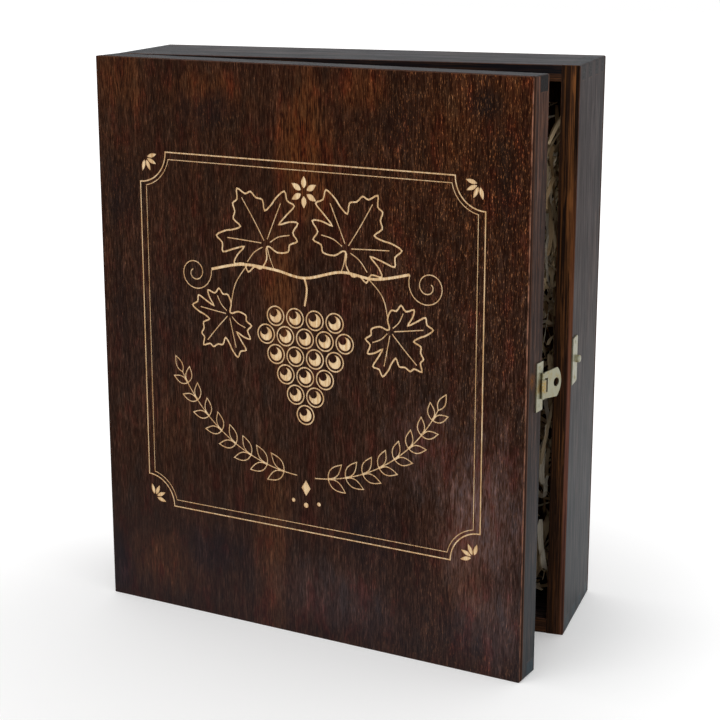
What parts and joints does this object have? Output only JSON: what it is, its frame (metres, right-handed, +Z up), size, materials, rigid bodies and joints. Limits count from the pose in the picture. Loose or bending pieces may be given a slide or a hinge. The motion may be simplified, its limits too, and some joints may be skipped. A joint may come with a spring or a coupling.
{
  "type": "wooden wine box",
  "caption": "Upright dark-stained wooden wine box with a lid on side hinges, finger-jointed corners, a brass snap latch and a nest of wood wool.",
  "frame": {"origin": "centre of the tray's underside, on the surface that the box stands on", "axes": "+Z up, -Y out of the front towards the lid, +X towards the latch side"},
  "size_m": [0.2995, 0.1549, 0.35],
  "materials": {
    "stained_plywood": "dark walnut stain, satin",
    "stained_wood": "dark walnut stain, satin",
    "wood_wool": "dry pale wood shavings",
    "latch_brass": "pale brass plate, satin",
    "hinge_brass": "brass plate, satin"
  },
  "bodies": {
    "tray": {"top_board": "stained_wood", "bottom_board": "stained_wood", "hinge_side_board": "stained_wood", "latch_side_board": "stained_wood", "back_panel": "stained_plywood", "wood_wool": "wood_wool", "upper_hinge_tray_leaf": "hinge_brass", "upper_hinge_pin": "hinge_brass", "lower_hinge_tray_leaf": "hinge_brass", "lower_hinge_pin": "hinge_brass", "hinge_tray_screws": "hinge_brass", "catch_plate": "latch_brass", "catch_plate_nails": "hinge_brass"},
    "lid": {"lid_panel": "stained_plywood", "lid_top_rail": "stained_wood", "lid_bottom_rail": "stained_wood", "lid_hinge_stile": "stained_wood", "lid_latch_stile": "stained_wood", "upper_hinge_lid_leaf": "hinge_brass", "lower_hinge_lid_leaf": "hinge_brass", "hinge_lid_screws": "hinge_brass", "latch_plate": "latch_brass", "latch_plate_nails": "hinge_brass"},
    "hasp": {"latch_hasp": "latch_brass"}
  },
  "joints": [
    {"name": "lid_hinge", "type": "hinge", "parent": "tray", "child": "lid", "pos_m": [-0.1476, -0.03915, 0.175], "axis": [0, 0, -1], "range_deg": [-11, 169]},
    {"name": "hasp_pivot", "type": "hinge", "parent": "lid", "child": "hasp", "pos_m": [0.14193, -0.0978, 0.175], "axis": [0, 0, -1], "range_deg": [-12, 168]}
  ]
}
